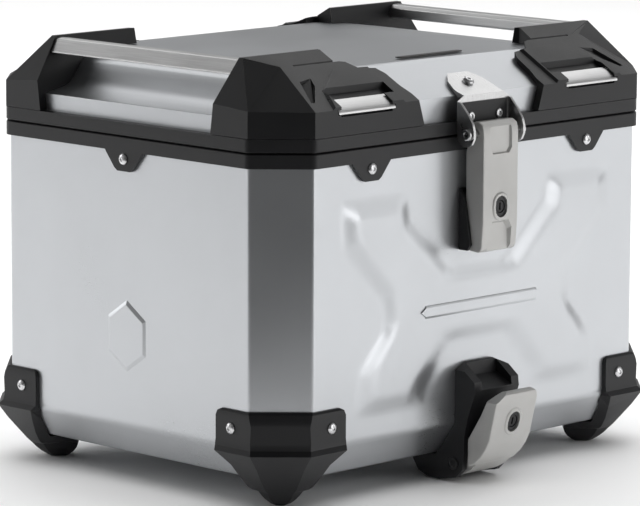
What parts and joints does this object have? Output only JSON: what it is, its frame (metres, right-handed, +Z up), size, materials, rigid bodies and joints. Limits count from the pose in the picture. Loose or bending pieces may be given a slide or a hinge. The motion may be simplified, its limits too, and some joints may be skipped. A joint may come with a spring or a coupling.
{
  "type": "motorcycle top case",
  "caption": "Hard aluminium top case with hinged lid, black corner feet, carrying bars, a tall front latch and a lower carrier lock.",
  "frame": {"origin": "on the flat seat under the base, in the middle of the body's width and depth", "axes": "+Z up, -Y towards the side with the main latch and carrier lock, +X along that side"},
  "size_m": [0.4344, 0.3941, 0.3328],
  "materials": {
    "silver_sheet": "satin anodised sheet",
    "black_plastic": "finely grained glass-filled plastic",
    "lever_grey": "powder-coated casting",
    "stainless": "brushed",
    "rivet_metal": "bright",
    "bar_metal": "satin anodised extrusion",
    "seal_rubber": "matt",
    "lock_black": "smooth"
  },
  "bodies": {
    "case": {"body_collar": "black_plastic", "body_shell": "silver_sheet", "carrier_lock_housing": "black_plastic", "carrier_lock_pin": "stainless", "collar_rivet_front_left": "rivet_metal", "collar_rivet_front_right": "rivet_metal", "collar_rivet_rear_left": "rivet_metal", "collar_rivet_rear_right": "rivet_metal", "collar_rivet_side_left": "rivet_metal", "collar_rivet_side_right": "rivet_metal", "corner_protector_front_left": "black_plastic", "corner_protector_front_right": "black_plastic", "corner_protector_rear_left": "black_plastic", "corner_protector_rear_right": "black_plastic", "latch_catch_front": "black_plastic", "latch_catch_rear": "black_plastic", "latch_lever_rear": "lever_grey", "latch_pin_rear": "stainless", "lock_liner_rear": "lock_black", "protector_rivet_front_left": "rivet_metal", "protector_rivet_front_right": "rivet_metal", "protector_rivet_rear_left": "rivet_metal", "protector_rivet_rear_right": "rivet_metal", "protector_rivet_side_front_left": "rivet_metal", "protector_rivet_side_front_right": "rivet_metal", "protector_rivet_side_rear_left": "rivet_metal", "protector_rivet_side_rear_right": "rivet_metal", "rear_lug_bar": "black_plastic"},
    "lid": {"carry_bar_left": "bar_metal", "carry_bar_right": "bar_metal", "lashing_bar_front_left": "bar_metal", "lashing_bar_front_right": "bar_metal", "lashing_bar_rear_left": "bar_metal", "lashing_bar_rear_right": "bar_metal", "latch_bracket_front": "stainless", "latch_bracket_rear": "stainless", "latch_pad_front": "black_plastic", "latch_pad_rear": "black_plastic", "latch_pin_front": "stainless", "latch_screw_top_front": "rivet_metal", "latch_screw_top_rear": "rivet_metal", "latch_screw_web_left": "rivet_metal", "latch_screw_web_right": "rivet_metal", "lid_corner_front_left": "black_plastic", "lid_corner_front_right": "black_plastic", "lid_corner_rear_left": "black_plastic", "lid_corner_rear_right": "black_plastic", "lid_frame": "black_plastic", "lid_inlay": "lock_black", "lid_panel": "silver_sheet", "lid_seal": "seal_rubber"},
    "front_lever": {"latch_lever_front": "lever_grey", "lock_liner_front": "lock_black"},
    "front_key": {"lock_plug_front": "rivet_metal"},
    "rear_key": {"lock_plug_rear": "rivet_metal"},
    "carrier_lever": {"carrier_lock_lever": "lever_grey", "lock_liner_lower": "lock_black"},
    "carrier_key": {"lock_plug_lower": "rivet_metal"}
  },
  "joints": [
    {"name": "lid_hinge", "type": "hinge", "parent": "case", "child": "lid", "pos_m": [0, 0.1795, 0.249], "axis": [-1, 0, 0], "range_deg": [0, 95]},
    {"name": "front_latch", "type": "hinge", "parent": "lid", "child": "front_lever", "pos_m": [0, -0.1795, 0.249], "axis": [-1, 0, 0], "range_deg": [0, 100]},
    {"name": "front_lock_turn", "type": "hinge", "parent": "front_lever", "child": "front_key", "pos_m": [0, -0.187, 0.193], "axis": [0, -1, 0], "range_deg": [0, 90]},
    {"name": "rear_lock_turn", "type": "hinge", "parent": "case", "child": "rear_key", "pos_m": [0, 0.187, 0.193], "axis": [0, 1, 0], "range_deg": [0, 90]},
    {"name": "carrier_latch", "type": "hinge", "parent": "case", "child": "carrier_lever", "pos_m": [0, -0.1635, -0.004], "axis": [1, 0, 0], "range_deg": [0, 45]},
    {"name": "carrier_lock_turn", "type": "hinge", "parent": "carrier_lever", "child": "carrier_key", "pos_m": [0, -0.202, 0.0305], "axis": [0, -0.9723, -0.2337], "range_deg": [0, 90]}
  ]
}
